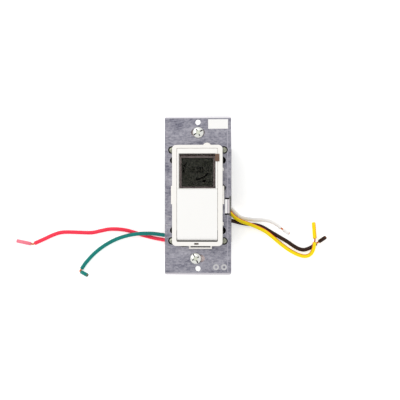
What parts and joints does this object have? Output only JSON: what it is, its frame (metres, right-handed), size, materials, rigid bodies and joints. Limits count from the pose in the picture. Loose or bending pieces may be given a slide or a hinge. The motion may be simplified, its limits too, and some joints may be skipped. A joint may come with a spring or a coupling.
{
  "type": "programmable wall switch",
  "caption": "Wall-box programmable switch with a display, a flip-down blank door over its keys, a metal mounting strap and loose wire leads.",
  "frame": {"origin": "centre of the housing's rear face, on which the switch lies", "axes": "+Z out of the front face, +Y towards the top end of the strap, +X to the right seen from the front"},
  "size_m": [0.2142, 0.1083, 0.0405],
  "materials": {
    "strap_aluminium": "brushed grey",
    "plated_steel": "bright zinc plate",
    "fibre": "pressed fibre",
    "black_plastic": "fine texture",
    "white_plastic": "satin",
    "clear_lens": "clear",
    "dark_mask": "printed",
    "clear_film": "clear",
    "lcd": "dark",
    "grey_plastic": "moulded",
    "contact_rubber": "soft",
    "mat_rubber": "soft",
    "light_pipe": "frosted",
    "label_paper": "matt white, blank",
    "board_green": "solder mask",
    "component_black": "moulded",
    "relay_blue": "moulded",
    "transformer_tape": "tape",
    "fuse_glass": "clear",
    "fish_paper": "matt",
    "spring_steel": "drawn wire",
    "rivet_metal": "domed",
    "key_plastic": "moulded",
    "wire_red": "smooth insulation",
    "wire_green": "smooth insulation",
    "wire_yellow": "smooth insulation, red stripe",
    "wire_black": "smooth insulation",
    "wire_white": "smooth insulation"
  },
  "bodies": {
    "root": {"back_housing": "black_plastic", "backup_cell": "plated_steel", "blank_label": "label_paper", "board_header": "component_black", "case_rivet_1": "rivet_metal", "case_rivet_2": "rivet_metal", "case_rivet_3": "rivet_metal", "case_rivet_4": "rivet_metal", "clock_crystal": "plated_steel", "controller_chip": "component_black", "display_bezel": "white_plastic", "display_lens": "clear_lens", "display_mask": "dark_mask", "elastomer_bottom": "contact_rubber", "elastomer_top": "contact_rubber", "front_cover": "black_plastic", "front_frame": "white_plastic", "fuse": "fuse_glass", "insulating_sheet": "fish_paper", "keypad_mat": "mat_rubber", "lcd_glass": "lcd", "lcd_tray": "grey_plastic", "lead_black": "wire_black", "lead_black_tip": "wire_black", "lead_clamp_left": "grey_plastic", "lead_clamp_right": "grey_plastic", "lead_green": "wire_green", "lead_green_tip": "wire_green", "lead_red": "wire_red", "lead_red_tip": "wire_red", "lead_white": "wire_white", "lead_white_tip": "wire_white", "lead_yellow": "wire_yellow", "lead_yellow_tip": "wire_yellow", "lens_film": "clear_film", "light_pipe": "light_pipe", "logic_board": "board_green", "pad_spring_left": "spring_steel", "pad_spring_right": "spring_steel", "pad_switch": "plated_steel", "power_board": "board_green", "relay": "relay_blue", "smoothing_capacitor": "component_black", "spacer_frame": "grey_plastic", "transformer": "transformer_tape", "varistor": "relay_blue", "yoke_strap": "strap_aluminium"},
    "pad": {"pad_carrier": "white_plastic"},
    "door": {"cover_door": "white_plastic"},
    "retainer_top": {"screw_retainer_top": "fibre"},
    "retainer_bottom": {"screw_retainer_bottom": "fibre"},
    "screw_top": {"mounting_screw_top": "plated_steel"},
    "screw_bottom": {"mounting_screw_bottom": "plated_steel"},
    "button_up": {"button_up": "key_plastic"},
    "button_down": {"button_down": "key_plastic"},
    "button_left": {"button_left": "key_plastic"},
    "button_right": {"button_right": "key_plastic"},
    "button_ok": {"button_ok": "key_plastic"},
    "button_menu": {"button_menu": "key_plastic"}
  },
  "joints": [
    {"name": "pad_press", "type": "slide", "parent": "root", "child": "pad", "axis": [0, 0, -1], "range_m": [0, 0.0008], "stiffness_N_per_m": 500, "deforming": ["pad_spring_left", "pad_spring_right"]},
    {"name": "door_hinge", "type": "hinge", "parent": "pad", "child": "door", "pos_m": [0, -0.0275, 0.0378], "axis": [1, 0, 0], "range_deg": [0, 95]},
    {"name": "retainer_top_slide", "type": "slide", "parent": "root", "child": "retainer_top", "axis": [1, 0, 0], "range_m": [-0.0027, 0.0022]},
    {"name": "retainer_bottom_slide", "type": "slide", "parent": "root", "child": "retainer_bottom", "axis": [1, 0, 0], "range_m": [-0.001, 0.0039]},
    {"name": "screw_top_turn", "type": "hinge", "parent": "retainer_top", "child": "screw_top", "pos_m": [0.00025, 0.04167, 0.0339], "axis": [0, 0, 1], "continuous": true},
    {"name": "screw_bottom_turn", "type": "hinge", "parent": "retainer_bottom", "child": "screw_bottom", "pos_m": [-0.00145, -0.04167, 0.0339], "axis": [0, 0, 1], "continuous": true},
    {"name": "button_up_press", "type": "slide", "parent": "root", "child": "button_up", "axis": [0, 0, -1], "range_m": [0, 0.0006], "stiffness_N_per_m": 300},
    {"name": "button_down_press", "type": "slide", "parent": "root", "child": "button_down", "axis": [0, 0, -1], "range_m": [0, 0.0006], "stiffness_N_per_m": 300},
    {"name": "button_left_press", "type": "slide", "parent": "root", "child": "button_left", "axis": [0, 0, -1], "range_m": [0, 0.0006], "stiffness_N_per_m": 300},
    {"name": "button_right_press", "type": "slide", "parent": "root", "child": "button_right", "axis": [0, 0, -1], "range_m": [0, 0.0006], "stiffness_N_per_m": 300},
    {"name": "button_ok_press", "type": "slide", "parent": "root", "child": "button_ok", "axis": [0, 0, -1], "range_m": [0, 0.0006], "stiffness_N_per_m": 300},
    {"name": "button_menu_press", "type": "slide", "parent": "root", "child": "button_menu", "axis": [0, 0, -1], "range_m": [0, 0.0006], "stiffness_N_per_m": 300}
  ]
}
